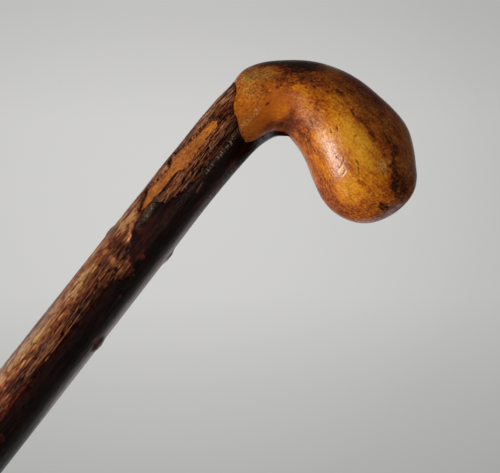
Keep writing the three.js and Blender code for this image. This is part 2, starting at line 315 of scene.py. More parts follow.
SPOTS = [
    (28, 68.3, 3.4, 0.9, -4, 0.3), (34.6, 66, 3.2, 0.8, -14, 0.24), (37.6, 64.6, 1.6, 0.7, -20, 0.3),
    (41.8, 64, 3.4, 1.1, 6, 0.26), (45.6, 66.6, 2.2, 0.9, 32, 0.22), (47.6, 62.8, 2.4, 0.8, -20, 0.2),
    (56, 65, 3.2, 1.3, -10, 0.36), (61.4, 63.2, 2.8, 1.5, -24, 0.26), (64.2, 58.4, 4.6, 1.3, -48, 0.28),
    (68.4, 54.6, 4.6, 2, -60, 0.26), (74.6, 53.4, 4.4, 2.6, -14, 0.2), (76.6, 60, 2, 5, 10, 0.12),
    (69.4, 50.4, 3, 1.8, -20, 0.24), (75, 49.6, 4, 1.2, 2, 0.22), (51.6, 61, 3.6, 1, -16, 0.18),
    (70.6, 42.2, 1, 0.8, 10, 0.5), (73.3, 43.1, 1.2, 1, 20, 0.55), (72, 41.4, 1.8, 0.5, 8, 0.4),
    (72, 42.6, 3, 1.6, 16, 0.24), (76, 45.2, 2.8, 0.6, 38, 0.3), (58.4, 43.6, 2.4, 0.9, 10, 0.2),
    (62.6, 43.2, 1.6, 0.9, -20, 0.16), (60.4, 39, 2, 1, 10, 0.12), (66, 47, 3, 0.8, 14, 0.16),
    (64, 37.4, 1.8, 2.6, -10, 0.12), (68.2, 39.4, 1, 3, -14, 0.14), (59.6, 49.3, 2.2, 0.8, 8, 0.24),
    (63.4, 56.4, 0.8, 2, -20, 0.2), (49, 36.6, 2.6, 1, -30, 0.16), (6.8, 55.8, 0.8, 2, -12, 0.3),
    (3.4, 51.6, 3, 0.8, -22, 0.22), (14.2, 62.2, 1, 0.8, 0, 0.3), (12.6, 63.8, 0.7, 0.7, 0, 0.2),
    (16.2, 61.8, 0.6, 0.8, 0, 0.3), (10.8, 60.4, 0.9, 0.6, 0, 0.3), (19, 63.8, 0.6, 0.5, 0, 0.3),
    (7.4, 47.4, 0.5, 1, -20, 0.5), (2, 47.2, 0.4, 0.5, 0, 0.3), (-1.6, 51.4, 0.5, 0.4, 0, 0.3),
    (44.6, 57, 0.6, 0.5, 0, 0.45), (23.6, 58.6, 0.5, 0.4, 0, 0.3), (36.4, 55, 0.4, 0.7, 30, 0.3),
    (42.4, 46.8, 0.4, 0.4, 0, 0.3), (43.8, 46, 0.4, 0.4, 0, 0.3), (38, 49.6, 0.4, 0.4, 0, 0.25),
    (61, 60.6, 0.6, 0.8, 0, 0.3), (58.6, 58.2, 0.5, 0.5, 0, 0.3), (33, 64.4, 1.4, 0.5, -20, 0.24),
    (24.6, 65.4, 1.6, 0.5, 12, 0.2), (31, 72, 2, 0.8, 0, 0.14), (48, 72.6, 3, 1, -10, 0.18),
    (38, 74.6, 2.6, 1, 0, 0.14), (60, 69.6, 2, 1, -30, 0.2),
]
OLIVE = [
    (-1.5, 57, 7, 4, 40, 0.75), (-6.5, 52.6, 4, 4.5, 20, 0.9), (-2, 48, 5, 4, 0, 0.55),
    (62.5, 54, 3.4, 2.6, -30, 0.45), (71, 64, 6, 5, -40, 0.35), (-7, 5, 9, 26, 0, 0.45),
]
# A pinkish tone: the wood's own in most rows, and in the first row, in the hollow by the crook, a painted
# haze of reflected light.
ROSY_AND_HAZE = [(27, 53, 7, 5, -45, 1), (22, 47.6, 4, 3, 0, 0.7), (33, 47, 6, 3, -30, 0.6), (-7, 5, 9, 26, 0, 0.9)]
SCRATCHES = [
    [(51, 49), (52, 49.2), (52.8, 48.4)],
    [(53.2, 47.6), (54.2, 47.2)],
    [(54.4, 46.6), (55.2, 46)],
    [(47.2, 46.6), (47.3, 45.2), (47.9, 44), (47.6, 42.8)],
    [(50, 43.6), (50.5, 42.6), (50.2, 41.8)],
    [(36, 56.2), (37.2, 55)],
    [(34.8, 53.6), (36, 52.6)],
]
FAINT_SHARE = 0.6
KNOT_HOLLOW = (72, 42.6, 2.3, 1.2, 16, 1)
# A shallow hollow: x, height above the neck, half sizes and depth.
HOLLOW = (22, 54, 9, 8, 0.45)
# The line of painted glints, pale dashes that stand for light caught on the polish: where it
# begins and ends along the stick, each as the stretch over which it fades, its degrees round,
# its radius and the dashes' pitch.
GLINT_START = (7, 10)
GLINT_END = (44.5, 46.5)
GLINT_DEGREES = 70
GLINT_RADIUS = 12.6
GLINT_PITCH = 1.35
# The wood's columns, and the heights where its fine rows and the head's rows begin.
WOOD_COLUMNS = 400
UNDER_BARK = -30
HEAD_START = 20
WINDOW_STEP = 0.8


def wood_cover(x, v, row, warp):
    """How far points lie inside one ragged mark: one in its middle, zero outside."""
    cx, cv, rx, rv, tilt, _ = row
    c, s = math.cos(math.radians(tilt)), math.sin(math.radians(tilt))
    a = ((x - cx) * c + (v - cv) * s) / rx
    b = (-(x - cx) * s + (v - cv) * c) / rv
    return fall(0.3, 1.45, np.hypot(a, b) + warp)


def turned(degrees, at):
    """How far round from one place others lie, either way."""
    return (degrees - at + 180) % 360 - 180


def bark_cover(degrees, v, row, warp):
    at, height, half, rise, _ = row
    far = np.hypot(turned(degrees, at) / half, (v - height) / rise)
    return fall(0.4, 1.4, far + warp)


def marks(a, v, table, warp, cover=wood_cover):
    """The strongest of a table's marks at each point."""
    return np.max([row[-1] * cover(a, v, row, warp) for row in table], axis=0)


def stains(a, v, table, warp, cover=wood_cover):
    """The sum of a table's marks at each point."""
    return sum(row[-1] * cover(a, v, row, warp) for row in table)


def line_distance(a, v, paths):
    """Distance from points to the nearest of some paths."""
    best = np.full(v.shape, 1e9)
    for path in paths:
        for (ax, av), (bx, bv) in zip(path, path[1:]):
            dx, dv = bx - ax, bv - av
            t = np.clip(((a - ax) * dx + (v - av) * dv) / (dx * dx + dv * dv), 0, 1)
            best = np.minimum(best, np.hypot(a - ax - t * dx, v - av - t * dv))
    return best


def polygon_distance(a, v, corners):
    """Distance from points to a closed outline, below zero inside."""
    closed = corners + corners[:1]
    inside = np.zeros(v.shape, bool)
    for (ax, av), (bx, bv) in zip(closed, closed[1:]):
        crosses = (av > v) != (bv > v)
        inside ^= crosses & (a < ax + (bx - ax) * (v - av) / ((bv - av) or 1e-9))
    far = line_distance(a, v, [closed])
    return np.where(inside, -far, far)


def painted_glints(degrees, along, seed):
    """Painted highlight: pale dashes, one after the other, along a line on the stick's front."""
    def drift(size, extra):
        return noise(along / size, 0 * degrees, 3, seed + extra)

    line = GLINT_DEGREES + 0.2 * np.maximum(along - 20, 0)
    aside = np.radians(degrees - line) * GLINT_RADIUS + 0.25 * drift(3, 0)
    beat = np.sin(2 * np.pi * (along / GLINT_PITCH + 0.3 * np.abs(aside) + 0.45 * drift(1.3, 3)))
    dash = smooth(-0.1, 0.8, beat) * (0.55 + 0.45 * smooth(-0.4, 0.4, drift(2.3, 1)))
    ends = smooth(*GLINT_START, along) * fall(*GLINT_END, along)
    half = 0.85 + 0.75 * smooth(13, 22, along)
    broken = 0.15 + 0.85 * smooth(-0.3, 0.4, noise(along / 0.7, degrees / 360, 96, seed + 2))
    return dash * broken * ends * fall(0.3, 1, np.abs(aside) / half)


def ring(columns):
    """Shares of a turn, one for each column."""
    return np.arange(columns)[None, :] / columns


def make_wood():
    hidden = np.linspace(-SHAFT_LENGTH, UNDER_BARK, 30)[:-1]
    window = np.arange(UNDER_BARK, HEAD_START, WINDOW_STEP)
    head = np.linspace(HEAD_START, HEAD_RUN, 340)
    rows = np.concatenate([hidden, window, head])[:, None]
    along, turns = np.broadcast_arrays(rows, ring(WOOD_COLUMNS))
    base = skin(along, turns, 0 * along)
    x, y, v = base[..., 0], base[..., 1], base[..., 2] - NECK_HEIGHT
    front = smooth(0, 6, -y)
    warp = layers3(base / 7, 3, 4)
    fine = layers3(base / 1.6, 13, 3)
    stain = stains(x, v, STAINS, 0.34 * warp + 0.12 * fine)
    # The far side wears the same broad tones, and the spots more faintly.
    spots = 0.8 * stains(x, v, SPOTS, 0.22 * warp + 0.26 * fine)
    stain += spots * np.maximum(front, FAINT_SHARE * smooth(-3, 8, y))
    stain += 0.07 * layers3(base / 16, 53, 2)
    scratch = fall(0.08, 0.36, line_distance(x, v, SCRATCHES)) * front
    dent = 0.16 * (1 + layers3(base / 14, 23, 2)) + 0.03 * (1 + fine)
    shown = smooth(8, 60, along) * fall(HEAD_RUN - 4, HEAD_RUN, along)
    knot = wood_cover(x, v, KNOT_HOLLOW, 0.2 * fine) * front
    at, height, half, rise, depth = HOLLOW
    hollow = depth * fall(0, 1, np.hypot((x - at) / half, (v - height) / rise)) * front
    lift = -dent * shown - 0.12 * scratch - 0.2 * knot - hollow
    points = skin(along, turns, lift)
    points[-1] = skin(np.array([HEAD_RUN]), np.array([0.0]), np.array([0.0]))
    fields = {
        "stain": stain,
        "olive": marks(x, v, OLIVE, 0.4 * warp),
        "rosy_and_haze": marks(x, v, ROSY_AND_HAZE, 0.4 * warp),
        "calm": marks(x, v, CALM, 0.3 * warp),
        "scratch": scratch,
        "dull": marks(x, v, DULL, 0.3 * fine),
        # The painted glints are a painted highlight, not the wood's colour.
        "painted_glint": painted_glints(turns * 360, along, 230),
        "grain": round_points(along, turns, np.maximum(shape(along)[..., 4], 2)),
    }
    return grid_piece("wood_head", points, fields, caps=True)


# Where the outer bark has flaked off: height above the neck, and the degrees at which
# the dark outer bark begins on the front.
FLAKE_EDGE = [
    (-900, 84), (-420, 92), (-300, 80), (-220, 95), (-160, 82), (-104, 86), (-80, 85), (-60, 83),
    (-50, 78), (-47.4, 70), (-46, 63), (-43.6, 60), (-42, 67), (-40, 80), (-35, 90), (-33.4, 98),
    (-31, 102), (-29, 106), (-26, 110), (-14, 107), (-12, 90), (-8, 85), (-2, 82), (2, 76), (10, 76),
    (30, 74), (50, 66),
]

# Tones of the flaked ground and of the outer bark: degrees, height above the neck, half
# sizes in degrees and millimetres, and how much paler or, below zero, darker.
BARE_TONE = 0.485
OUTER_TONE = 0.08
TONES = [
    (155, 0, 24, 60, 0.12), (155, -70, 20, 60, 0.16), (130, -44, 16, 5, 0.06), (138, 34, 26, 14, 0.04),
    (132, -86, 14, 34, 0.32), (130, -20, 9, 6, 0.14), (108, -30, 10, 8, 0.1), (126, -66, 10, 14, 0.06),
    (93, 10, 14, 28, -0.36), (96, 28, 14, 8, -0.06), (142, 40, 14, 4, -0.16),
    (143, 33.5, 5, 2.4, -0.26), (122, 34, 8, 3.4, -0.12), (128, 29, 12, 2.4, -0.16),
    (146, 28, 8, 3, 0.1), (131, 37, 6, 2, 0.14), (118, 30.4, 8, 1.8, -0.2), (84, 24, 12, 9, -0.24),
    (92, 30, 16, 3, -0.14), (72, 20, 8, 14, -0.1), (74, 4, 7, 8, -0.18), (107, 20, 1.5, 11, 0.3),
    (98, 14, 1.3, 15, 0.26), (92, 22, 1, 8, 0.2), (88, 12, 1.1, 9, 0.2), (103, 0, 5, 6, 0.16),
    (97, -8, 6, 4, 0.06), (92, -4, 2, 8, 0.16), (84, -3, 5, 6, -0.16), (114, -8, 2, 6, -0.12),
    (112, -19, 6, 7, -0.16), (146, -5, 9, 10, 0.02), (150, 16, 10, 7, -0.08), (148, -16, 9, 4, 0.1),
    (132, -22, 12, 3, -0.1), (130, -28, 18, 5, 0.46), (108, -32, 8, 3, 0.46), (148, -33.5, 8, 3, -0.34),
    (120, -39, 20, 3, -0.12), (92, -37.5, 20, 4.5, -0.42), (127, -43.5, 8, 3, 0.2),
    (98, -43.6, 13, 1.7, 0.3), (68, -44.4, 20, 2.4, -0.02), (113, -46.5, 6, 1.8, -0.2),
    (86, -48.4, 8, 0.9, -0.3), (100, -54.2, 6, 0.7, -0.34), (88, -54, 10, 6, -0.18),
    (108, -56, 9, 8, 0.05), (110, -67, 9, 6, 0.08), (130, -99, 16, 12, 0.12), (130, -51, 10, 4, 0.12),
    (126, -64, 8, 4, 0.2), (112, -70.5, 20, 2.4, -0.2), (88, -80, 9, 26, -0.24),
    (104, -66, 4, 9, -0.08), (92, -60, 1.4, 10, 0.12), (84, -66, 1.1, 8, 0.1),
    (101, -84, 1.4, 12, 0.12), (90, -88, 1.2, 16, 0.1), (110, -77, 1.6, 7, 0.12),
    (90, -88, 12, 34, -0.26), (108, -87, 5, 2.2, 0.18), (98, -93, 5, 1.4, -0.3),
    (106, -100, 6, 6, -0.08),
]
OUTER_TONES = [
    (37, 17, 6, 4, 0.2), (70, -35, 6, 3, 0.2), (58, 1, 2, 3, 0.18), (66, -12, 12, 10, 0.06),
    (53, -53.6, 4, 1.2, 0.22), (56, -62, 10, 12, 0.04), (30, -74, 16, 1.4, 0.18),
    # Of the rows below, the one at 28 degrees is a painted sheen of reflected light down the right side.
    (108, -20, 14, 8, 0.08), (84, -24, 14, 16, 0.08), (60, -84, 30, 40, -0.05), (28, -60, 12, 80, 0.1),
    (36, 4, 12, 12, 0.1), (74, -42, 8, 4, 0.1),
]
GOLDEN = [(126, -58, 14, 12, 0.5), (128, -88, 14, 18, 0.6), (140, 32, 12, 8, 0.2)]
RAW = [
    (102, 1.4, 4, 2.6, 0.6), (98, -3.4, 5, 2, 0.5), (66, -35, 4, 1.3, 0.6), (100, -43.4, 12, 1.4, 0.6),
    (128, -43, 8, 1.6, 0.4), (92, -58.6, 6, 1.2, 0.4), (148, -56, 6, 3, 0.3), (134, -102, 9, 3, 0.7),
    (130, -28, 14, 4, 0.35), (124, -33, 7, 2, 0.4),
]
# Torn pale fibres that stand out on the front: degrees and height above the neck.
FIBRES = [
    [(104, 33), (101, 27), (99, 22), (96, 18)], [(96, 32), (97, 27), (99, 22)],
    [(107, 24), (107, 16), (105, 10)], [(101, 20), (97, 19), (91, 17.5), (87, 17)],
    [(100, 17), (99, 10), (97, 5)], [(93, 27), (92, 20), (89, 14)], [(88, 30), (85, 24)],
    [(92, 5), (90, 0), (91, -6), (90, -12)], [(97, -2), (98, -8), (95, -12)],
    [(106, 3), (104, -3), (104, -9)], [(63, 5), (60, 0)], [(84, 8), (83, 2), (85, -4)],
    [(113, -74), (112, -82), (113, -88)], [(105, -70), (104, -80), (102, -86)],
    [(98, -73), (96, -84), (96, -95)], [(92, -60), (91, -70), (89, -80), (88, -92)],
    [(90, -47), (84, -48), (79, -49)], [(100, -96), (98, -104)], [(108, -98), (107, -104)],
    [(113, -95), (112, -103)], [(128, -51), (124, -56), (125, -62)], [(103, -55), (94, -55.4)],
    [(94, -78), (93, -88), (95, -98)], [(110, -50), (108, -58), (109, -66)],
    [(101, -57), (99, -66), (100, -72)],
]
# Grey-green specks: moss in most rows, and in the first row a painted glint of light on the dark bark.
MOSS_AND_GLINTS = [(108, -19, 7, 8, 1), (149, -34, 9, 3, 1), (104, -87, 6, 3, 0.6), (150, 20, 8, 8, 0.4)]
# Painted sheen: blue-grey light reflected in the dark bark inside the crook. Degrees, height above the
# neck, half sizes and strength.
PAINTED_SHEEN = [(8, 39, 13, 9, 1), (24, 33, 4, 4, 0.25)]
# Flakes of bare fibre with a dark outline: degrees, height above the neck and half sizes.
PATCHES = [
    (98, -43.6, 13, 1.9), (134, -101.5, 8, 4), (126, -63, 8, 3.5), (123, -33, 9, 3.4), (103, 0.5, 5, 3),
    (126, -43, 7, 2), (66, -35, 5, 1.6), (146, 32, 7, 3), (133, 31, 5, 2.4), (150, 40, 7, 2.6),
    (151, 6, 6, 5), (152, -18, 7, 4),
]
LIP_SEAT = 0.12
FEATHER_SHARE = 0.02
THREAD_SHARE = 0.2
THREADS = [(98, 10, 15, 26, 0.85), (140, -4, 10, 22, 0.6), (96, -46, 20, 8, 0.6), (102, -84, 10, 18, 0.6)]
# The bark's rows: where the fine ones begin and end, and both steps.
BARK_COLUMNS = 288
FINE_BOTTOM = -150
FINE_TOP = 72
COARSE_STEP = 1.6
FINE_STEP = 0.42
# How far the skin ends under the wood's, and the depth below which it is left out.
SUNK = -0.7
CUT = -0.55
# Where the flaked ground ends at the back, and the height below which it forms islands.
BACK_EDGE = 236
ISLANDS_TOP = -115
# Heights between which the flaked edge softens and fades, its ledge and the front's
# paleness fade out and the bloom grows, going down the shaft.
SOFTENING = (-14, -24)
FADING = (-46, -56)
LEVELLING = (-22, -32)
DARKENING = (-44, -50)
BLOOMING = (-54, -80)
# A twig knot's half sizes and the depth of its scar.
KNOT_WIDTH = 3.4
KNOT_LENGTH = 4.6
SCAR_DEPTH = 0.45


def twig_knots(degrees, v, tight):
    """The rise of the twig knots with their dents, and how far points lie in a scar."""
    rise, scar = np.zeros_like(v), np.zeros_like(v)
    for at, down in KNOT_SHARES:
        arc = turned(degrees, at) * DEGREE_ARC
        far = np.hypot(arc / KNOT_WIDTH, (v + down * SHAFT_LENGTH) / KNOT_LENGTH) + 0.12 * tight
        rise += KNOT_HEIGHT * fall(0.15, 1.1, far)
        rise -= SCAR_DEPTH * fall(0.05, 0.3, far)
        scar = np.maximum(scar, fall(0.4, 0.8, far))
    return rise, scar


def patch_tone(degrees, v, tight):
    """Flakes of bare fibre, a little paler inside a dark outline."""
    tone = np.zeros_like(v)
    for at, height, half, rise in PATCHES:
        far = np.hypot((degrees - at) / half, (v - height) / rise) + 0.6 * tight
        tone += 0.05 * fall(0.7, 1, far)
        tone -= 0.24 * smooth(0.88, 1.05, far) * fall(1.1, 1.4, far)
    return tone


def window_gap(degrees, v, ragged, tight, grit):
    """Distance outside the window's torn edge, below zero inside."""
    corners = [(d * DEGREE_ARC, WINDOW_TOP - s * WINDOW_LENGTH) for d, s in WINDOW_SHARES]
    gap = polygon_distance(degrees * DEGREE_ARC + 0.6 * tight, v + 0.7 * ragged, corners)
    return gap - 0.2 + 0.5 * grit


def make_bark():
    low = np.arange(-SHAFT_LENGTH, FINE_BOTTOM, COARSE_STEP)
    high = np.arange(FINE_BOTTOM, FINE_TOP, FINE_STEP)
    rows = np.concatenate([[-SHAFT_LENGTH - 0.01], low, high])[:, None]
    v, turns = np.broadcast_arrays(rows, ring(BARK_COLUMNS))
    degrees = turns * 360

    def grown(size, around, seed, count):
        return layers(v / size, turns, around, seed, count)

    def marked(table, warp):
        return marks(degrees, v, table, warp, bark_cover)

    ragged = grown(9, 18, 50, 4)
    tight = grown(3, 40, 60, 3)
    # Flaked ground against dark outer bark. Lower down the two fade into each other.
    heights, begin = np.array(FLAKE_EDGE).T
    front_edge = np.interp(v, heights, begin) + 6 * ragged + 7 * tight
    back_edge = BACK_EDGE + 16 * layers(v / 30, 0 * turns, 9, 70, 3) + 8 * ragged
    fade = 1.5 + 2.5 * smooth(*SOFTENING, v) + 6.5 * smooth(*FADING, v)
    flaked = smooth(-fade, fade, degrees - front_edge) * smooth(-1.5, 1.5, back_edge - degrees)
    island = smooth(0.42, 0.5, grown(16, 9, 80, 4))
    flaked = np.where(v < ISLANDS_TOP, np.maximum(flaked, 0.8 * island), flaked)
    # Fibres, torn steps and cracks.
    fibre = grown(26, 40, 90, 3)
    hair = grown(10, 84, 100, 2)
    grit = grown(1.1, 72, 210, 2)
    step = smooth(0.02, 0.1, grown(12, 34, 110, 4) + 0.2 * hair)
    low_step = smooth(0.1, 0.18, grown(14, 15, 150, 4) + 0.12 * tight)
    along_crack = fall(0.02, 0.1, np.abs(grown(26, 44, 130, 3)))
    cross_crack = fall(0.02, 0.12, np.abs(grown(2.2, 16, 170, 3)))
    cross_crack *= smooth(0, 0.3, grown(12, 16, 190, 2))
    crack = np.maximum(along_crack, 0.7 * cross_crack)
    # Tone, from black bark through red-brown to tan fibre.
    ground = BARE_TONE + 0.16 * fibre + 0.16 * hair + 0.06 * grit - 0.06 * step + 0.03 * low_step
    ground += stains(degrees, v, TONES, 0.5 * tight + 0.2 * fibre, bark_cover)
    # Under the knob the left side is cracked and flaky.
    flaky = smooth(128, 136, degrees) * smooth(18, 25, v)
    ground += patch_tone(degrees, v, tight) + 0.08 * flaky
    ground -= (0.14 + 0.3 * flaky) * crack
    ground -= 0.2 * fall(84, 112, degrees) * smooth(*DARKENING, v)
    outer = OUTER_TONE + 0.06 * fibre + 0.07 * hair + 0.04 * smooth(0.1, 0.4, ragged)
    outer += stains(degrees, v, OUTER_TONES, 0.6 * tight, bark_cover)
    tone = outer + (ground - outer) * flaked
    thread = THREAD_SHARE + (1 - THREAD_SHARE) * marked(THREADS, 0.4 * tight)
    # Relief: torn steps, fibres, cracks, low swells of the whole skin and twig knots.
    ledge = 1 - 0.85 * smooth(*LEVELLING, v)
    lift = FIT + BARK_THICKNESS - flaked * (0.08 + 0.12 * step + 0.08 * low_step) * ledge
    lift += flaked * (0.1 * fibre + 0.12 * hair + 0.04 * grit)
    paths = [[(d * DEGREE_ARC, height) for d, height in path] for path in FIBRES]
    torn = fall(0.04, 0.27, line_distance(degrees * DEGREE_ARC, v, paths))
    torn *= smooth(-0.5, 0.2, noise(v / 4, turns, 90, 240) + 0.5 * grit)
    torn *= 1 - 0.25 * smooth(-44, -52, v)
    lift += 0.08 * torn + (1 - flaked) * 0.02 * (fibre + tight)
    lift -= (0.04 + 0.14 * flaked) * crack
    lift -= 0.1 * (1 + grown(26, 5, 140, 2))
    rise, scar = twig_knots(degrees, v, tight)
    # The upper edge and the window.
    below = edge_at(turns) - v + 0.22 * grit
    thin = FEATHER_SHARE + (1 - FEATHER_SHARE) * smooth(0, LIP_RUN, below + LIP_RUN / 9)
    lift = LIP_SEAT + (lift + rise - LIP_SEAT) * thin
    gap = window_gap(degrees, v, ragged, tight, grit)
    wall = smooth(-0.25, 0.2, gap)
    solid = smooth(-0.1, 0.25, below) * wall
    lift = SUNK + (lift - SUNK) * solid
    lift[0] = SUNK
    # The bark is darker where it ends against the bare wood, and painted shade darkens the flaked ground
    # below its upper edge, under the head.
    tone -= 0.22 * fall(0.1, 0.8, np.maximum(gap, 0) + 0.5 * tight) * smooth(0.15, 0.5, wall)
    tone -= 0.14 * fall(0.5, 3.5, below + 1.2 * tight) * flaked
    # No light catches on the seam between the flaked ground and the outer bark.
    seam = smooth(0, 0.3, 4 * flaked * (1 - flaked)) * smooth(-20, -30, v)
    there = smooth(0.3, 0.6, solid)
    fields = {
        "tone": tone,
        "thread": thread * flaked,
        "torn": torn * there,
        "moss_and_glints": marked(MOSS_AND_GLINTS, 0.5 * tight),
        "swing": flaked * (1 - 0.45 * smooth(108, 124, degrees) * smooth(-40, -52, v)),
        "dry": np.maximum(smooth(14, 24, v) * fall(52, 70, degrees), seam),
        "painted_sheen": marked(PAINTED_SHEEN, 0.5 * tight),
        "bloom": smooth(124, 154, degrees) * (0.14 + 0.66 * smooth(*BLOOMING, v)),
        "painted_glint": painted_glints(degrees, v, 230) * there,
        "golden": marked(GOLDEN, 0.4 * tight) * flaked,
        "raw": marked(RAW, 0.7 * tight + 0.7 * hair),
        "flaked": flaked,
        "scar": scar,
        "grain": round_points(v, turns, BARK_RADIUS),
    }
    return grid_piece("bark_sleeve", skin(v, turns, lift), fields, keep=lift > CUT)


# Materials.
class Nodes:
    """The nodes of a material or of the world, made one call at a time."""

    def __init__(self, owner, shader="Principled BSDF"):
        owner.use_nodes = True
        self.owner = owner
        self.tree = owner.node_tree
        self.shader = self.tree.nodes[shader]

    def set(self, target, key, value):
        """Gives a socket its value; a plain name stands for the mesh's field of that name."""
        socket = target.inputs[key]
        if isinstance(value, str):
            value = self.field(value)
        if isinstance(value, bpy.types.NodeSocket):
            self.tree.links.new(value, socket)
        elif isinstance(value, tuple) and len(value) == 3 and socket.type == "RGBA":
            socket.default_value = (*value, 1)
        else:
            socket.default_value = value

    def add(self, kind, output, settings, sockets):
        node = self.tree.nodes.new("ShaderNode" + kind)
        for key, value in settings.items():
            setattr(node, key, value)
        for key, value in sockets.items():
            self.set(node, key, value)
        return node.outputs[output]

    def place(self, output="Object"):
        return self.add("TexCoord", output, {}, {})

    def field(self, name):
        output = "Vector" if name == "grain" else "Fac"
        return self.add("Attribute", output, {"attribute_name": name}, {})

    def math(self, operation, first, second):
        return self.add("Math", 0, {"operation": operation}, {0: first, 1: second})

    def times(self, first, second):
        return self.math("MULTIPLY", first, second)

    def plus(self, first, second):
        return self.math("ADD", first, second)

    def centred(self, value):
        """A value from nought to one, moved to lie about nought."""
        return self.math("SUBTRACT", value, 0.5)

    def vectors(self, operation, output, *values):
        return self.add("VectorMath", output, {"operation": operation}, dict(enumerate(values)))

    def stretched(self, vector, scale):
        return self.vectors("MULTIPLY", "Vector", vector, scale)

    def warped(self, vector, scale, amount):
        """The vector pushed about by a smooth noise."""
        drift = self.add("TexNoise", "Color", {}, {"Vector": vector, "Scale": scale, "Detail": 2})
        return self.vectors("MULTIPLY_ADD", "Vector", drift, (amount,) * 3, vector)

    def noise(self, vector, scale, detail, rough, distortion=0):
        return self.add("TexNoise", "Fac", {}, {
            "Vector": vector, "Scale": scale, "Detail": detail, "Roughness": rough,
            "Distortion": distortion})

    def grained(self, cells, *how):
        """Noise with so many cells a millimetre across and along the grain."""
        return self.noise(self.stretched("grain", cells), 1, *how)

    def cells(self, vector, feature, output):
        return self.add("TexVoronoi", output, {"feature": feature}, {"Vector": vector, "Scale": 1})

    def ramp(self, value, *stops):
        """A grey or a colour at each place from nought to one."""
        node = self.tree.nodes.new("ShaderNodeValToRGB")
        self.set(node, 0, value)
        bar = node.color_ramp
        while len(bar.elements) < len(stops):
            bar.elements.new(0.5)
        for element, (place, colour) in zip(bar.elements, stops):
            element.position = place
            element.color = (*colour, 1) if isinstance(colour, tuple) else (colour,) * 3 + (1,)
        return node.outputs["Color"]

    def ranged(self, value, low, high, *stops):
        """A ramp over a number's range."""
        share = self.add("MapRange", "Result", {}, {
            "Value": value, "From Min": low, "From Max": high})
        return self.ramp(share, *stops)

    def mix(self, share, first, second, blend="MIX"):
        return self.add("Mix", 2, {"data_type": "RGBA", "blend_type": blend},
                        {0: share, 6: first, 7: second})

    def tint(self, colour, share, amount, other):
        """The colour, moved towards another one by a share times an amount."""
        return self.mix(self.times(share, amount), colour, other)

    def relief(self, *rows):
        """Bumps on top of each other: height, strength and depth in metres."""
        normal = None
        for height, strength, depth in rows:
            sockets = {"Height": height, "Strength": strength, "Distance": depth}
            if normal:
                sockets["Normal"] = normal
            normal = self.add("Bump", "Normal", {}, sockets)
        return normal

    def finish(self, **inputs):
        for key, value in inputs.items():
            self.set(self.shader, key.replace("_", " "), value)
        return self.owner


def material_nodes(name):
    return Nodes(bpy.data.materials.new(name))


def polished_wood():
    n = material_nodes("polished_wood")
    place = n.place()
    cloud = n.noise(place, 130, 4, 0.6)
    mottle = n.noise(place, 1000, 5, 0.62)
    fibre = n.grained((1.4, 1.4, 0.28), 4, 0.7, 0.4)
    pores = n.grained((1.8, 1.8, 1.3), 3, 0.6, 0.3)
    stain = n.plus("stain", 0.36)
    # The darker the wood, the stronger its mottling.
    depth = n.ramp(stain, (0.12, 0.32), (0.3, 0.5), (0.6, 1))
    still = n.math("SUBTRACT", 1, n.times("calm", 0.75))
    speckle = n.times(n.plus(n.centred(mottle), n.centred(fibre)), depth)
    speckle = n.times(n.times(speckle, still), 1.15)
    drift = n.times(n.centred(cloud), 0.28)
    stain = n.plus(stain, n.plus(speckle, n.times(drift, still)))
    colour = n.ramp(
        stain, (0, (0.86, 0.43, 0.06)), (0.15, (0.76, 0.325, 0.018)), (0.3, (0.6, 0.184, 0.006)),
        (0.45, (0.42, 0.092, 0.005)), (0.58, (0.27, 0.054, 0.007)), (0.7, (0.155, 0.031, 0.007)),
        (0.83, (0.05, 0.015, 0.005)), (1, (0.02, 0.0075, 0.004)))
    olive = n.ramp(stain, (0.05, (0.62, 0.38, 0.12)), (0.3, (0.42, 0.22, 0.05)),
                   (0.5, (0.19, 0.095, 0.02)), (0.8, (0.035, 0.018, 0.008)))
    colour = n.tint(colour, "olive", 0.8, olive)
    # Pinkish tone. In the hollow by the crook it is a painted haze of reflected light.
    rosy_and_haze = n.ramp(stain, (0.1, (0.64, 0.29, 0.085)), (0.4, (0.4, 0.12, 0.03)),
                  (0.7, (0.15, 0.032, 0.014)))
    colour = n.tint(colour, "rosy_and_haze", 0.6, rosy_and_haze)
    # Short dark hairs along the grain.
    strand = n.grained((1.5, 1.5, 0.42), 2, 0.6, 0.8)
    hairs = n.ramp(strand, (0.47, 0), (0.495, 0.6), (0.505, 0.6), (0.53, 0))
    hairs = n.times(hairs, n.ramp(cloud, (0.46, 0), (0.58, 1)))
    colour = n.tint(colour, hairs, still, (0.1, 0.026, 0.005))
    # Dark pores, most of all where the wood is dark or olive.
    crowd = n.ramp(n.plus(stain, n.times("olive", 0.35)), (0.15, 0.12), (0.5, 0.75))
    dots = n.times(crowd, n.ramp(pores, (0.34, 1), (0.42, 0)))
    colour = n.tint(colour, dots, still, (0.05, 0.013, 0.004))
    colour = n.tint(colour, "scratch", 0.85, (0.05, 0.02, 0.008))
    # Painted highlight: pale dashes where light glints on the polish.
    colour = n.tint(colour, "painted_glint", 0.6, (0.9, 0.66, 0.28))
    # Stained wood is duller than the polished gold.
    rough = n.ramp(stain, (0.1, 0.185), (0.6, 0.33))
    gloss = n.times(n.ramp(stain, (0.3, 0.4), (0.7, 0.13)), n.ramp("dull", (0, 1), (1, 0.08)))
    normal = n.relief((fibre, 0.12, 0.0003), (pores, 0.1, 0.0001), (cloud, 0.08, 0.0008))
    return n.finish(Base_Color=colour, Roughness=rough, Normal=normal, Specular_IOR_Level=gloss)


